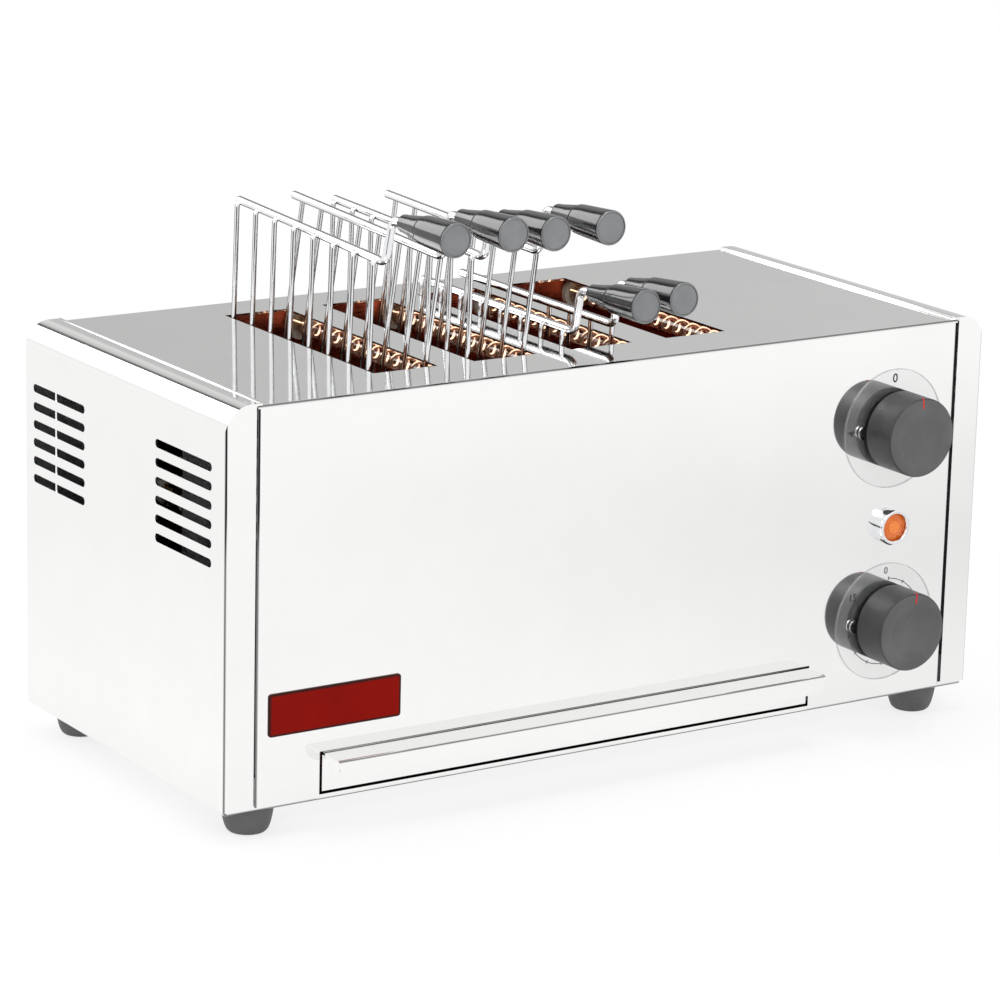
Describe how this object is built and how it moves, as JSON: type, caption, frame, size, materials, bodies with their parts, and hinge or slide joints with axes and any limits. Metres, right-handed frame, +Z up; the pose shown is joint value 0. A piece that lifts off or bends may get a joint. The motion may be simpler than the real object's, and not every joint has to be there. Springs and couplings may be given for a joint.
{
  "type": "sandwich maker",
  "caption": "Countertop quartz sandwich toaster loaded from above, with lift-out wire tongs, selector and timer knobs, a pilot lamp and a pull-out crumb tray.",
  "frame": {"origin": "centre of the footprint of the whole object, handles and gland included, on the surface that the feet stand on", "axes": "+X along the width to the control side, +Y from the front panel to the back, +Z up"},
  "size_m": [0.42, 0.2322, 0.278],
  "materials": {
    "stainless_casing": "polished to a soft mirror",
    "stainless_inner": "bright rolled",
    "stainless_tray_front": "polished",
    "zinc_fasteners": "zinc plated",
    "rubber_feet": "moulded, matt",
    "red_plate": "gloss enamel",
    "quartz": "clear drawn tube, lit by the coil",
    "heating_wire": "glowing",
    "ceramic": "unglazed",
    "brass": "bright",
    "black_knob": "fine spark-eroded texture",
    "clear_dial": "clear acrylic disc, printed figures",
    "black_housing": "moulded",
    "timer_case": "die-cast",
    "chrome_bezel": "bright plated",
    "amber_lens": "clear amber, faceted",
    "white_plastic": "moulded",
    "lead_insulation": "silicone sleeve",
    "chromed_wire": "bright plated",
    "black_handle": "polished phenolic"
  },
  "bodies": {
    "chassis": {"left_end_cap": "stainless_casing", "right_end_cap": "stainless_casing", "front_panel": "stainless_casing", "top_panel": "stainless_casing", "back_panel": "stainless_casing", "back_panel_screws": "zinc_fasteners", "base_pan": "stainless_inner", "rubber_feet": "rubber_feet", "foot_screws": "zinc_fasteners", "name_plate": "red_plate", "tray_rails": "stainless_inner", "rail_screws": "zinc_fasteners", "chamber_front_plate": "stainless_inner", "chamber_rear_plate": "stainless_inner", "chamber_left_wall": "stainless_inner", "chamber_right_wall": "stainless_inner", "tong_rest_bars": "stainless_inner", "upper_quartz_tubes": "quartz", "lower_quartz_tubes": "quartz", "upper_heater_coils": "heating_wire", "lower_heater_coils": "heating_wire", "ceramic_end_caps": "ceramic", "terminal_studs": "brass", "bus_bars": "brass", "small_nuts": "zinc_fasteners", "selector_switch": "black_housing", "selector_dial": "clear_dial", "timer_body": "timer_case", "timer_dial": "clear_dial", "control_screws": "zinc_fasteners", "spade_terminals": "brass", "pilot_bezel": "chrome_bezel", "pilot_lens": "amber_lens", "pilot_body": "white_plastic", "pilot_nut": "black_housing", "terminal_block": "white_plastic", "cable_gland": "black_housing", "gland_nut": "black_housing", "wiring": "lead_insulation"},
    "crumb_tray": {"crumb_tray_pan": "stainless_inner", "crumb_tray_front": "stainless_tray_front"},
    "selector": {"selector_knob": "black_knob", "selector_shaft": "zinc_fasteners"},
    "timer": {"timer_knob": "black_knob", "timer_shaft": "zinc_fasteners"},
    "tong_1_left_jaw": {"tong_1_jaw_a": "chromed_wire", "tong_1_handle_a": "black_handle"},
    "tong_1_pin": {"tong_1_hinge_pin": "chromed_wire"},
    "tong_1_right_jaw": {"tong_1_jaw_b": "chromed_wire", "tong_1_handle_b": "black_handle"},
    "tong_2_left_jaw": {"tong_2_jaw_a": "chromed_wire", "tong_2_handle_a": "black_handle"},
    "tong_2_pin": {"tong_2_hinge_pin": "chromed_wire"},
    "tong_2_right_jaw": {"tong_2_jaw_b": "chromed_wire", "tong_2_handle_b": "black_handle"},
    "tong_3_left_jaw": {"tong_3_jaw_a": "chromed_wire", "tong_3_handle_a": "black_handle"},
    "tong_3_pin": {"tong_3_hinge_pin": "chromed_wire"},
    "tong_3_right_jaw": {"tong_3_jaw_b": "chromed_wire", "tong_3_handle_b": "black_handle"}
  },
  "joints": [
    {"name": "crumb_tray_slide", "type": "slide", "parent": "chassis", "child": "crumb_tray", "axis": [0, -1, 0], "range_m": [0, 0.15]},
    {"name": "selector_turn", "type": "hinge", "parent": "chassis", "child": "selector", "pos_m": [0.1572, -0.08887, 0.1497], "axis": [0, 1, 0], "range_deg": [0, 270]},
    {"name": "timer_turn", "type": "hinge", "parent": "chassis", "child": "timer", "pos_m": [0.1572, -0.08887, 0.0531], "axis": [0, 1, 0], "range_deg": [-6, 299]},
    {"name": "tong_1_lift", "type": "slide", "parent": "chassis", "child": "tong_1_pin", "axis": [0, 0, 1], "range_m": [-0.0438, 0.0262]},
    {"name": "tong_1_squeeze", "type": "hinge", "parent": "tong_1_pin", "child": "tong_1_left_jaw", "pos_m": [-0.1084, -0.04787, 0.1178], "axis": [0, 0.999, 0.0436], "range_deg": [0, 1.5]},
    {"name": "tong_1_spread", "type": "hinge", "parent": "tong_1_pin", "child": "tong_1_right_jaw", "pos_m": [-0.1084, -0.04787, 0.1178], "axis": [0, 0.999, 0.0436], "range_deg": [-3.53, 2.19]},
    {"name": "tong_2_lift", "type": "slide", "parent": "chassis", "child": "tong_2_pin", "axis": [0, 0, 1], "range_m": [-0.041, 0.029]},
    {"name": "tong_2_squeeze", "type": "hinge", "parent": "tong_2_pin", "child": "tong_2_left_jaw", "pos_m": [-0.0549, -0.04787, 0.115], "axis": [0, 0.9995, 0.0314], "range_deg": [0, 1.5]},
    {"name": "tong_2_spread", "type": "hinge", "parent": "tong_2_pin", "child": "tong_2_right_jaw", "pos_m": [-0.0549, -0.04787, 0.115], "axis": [0, 0.9995, 0.0314], "range_deg": [-3.32, 2.4]},
    {"name": "tong_3_lift", "type": "slide", "parent": "chassis", "child": "tong_3_pin", "axis": [0, 0, 1], "range_m": [0, 0.07]},
    {"name": "tong_3_squeeze", "type": "hinge", "parent": "tong_3_pin", "child": "tong_3_left_jaw", "pos_m": [-0.0014, -0.04787, 0.074], "axis": [0, 1, 0], "range_deg": [0, 1.5]},
    {"name": "tong_3_spread", "type": "hinge", "parent": "tong_3_pin", "child": "tong_3_right_jaw", "pos_m": [-0.0014, -0.04787, 0.074], "axis": [0, 1, 0], "range_deg": [-0.2, 5.52]}
  ],
  "couplings": [
    {"joint": "tong_1_spread", "follows": "tong_1_lift", "rad_per_m": 1.3264},
    {"joint": "tong_2_spread", "follows": "tong_2_lift", "rad_per_m": 1.3264},
    {"joint": "tong_3_spread", "follows": "tong_3_lift", "rad_per_m": 1.3264}
  ]
}
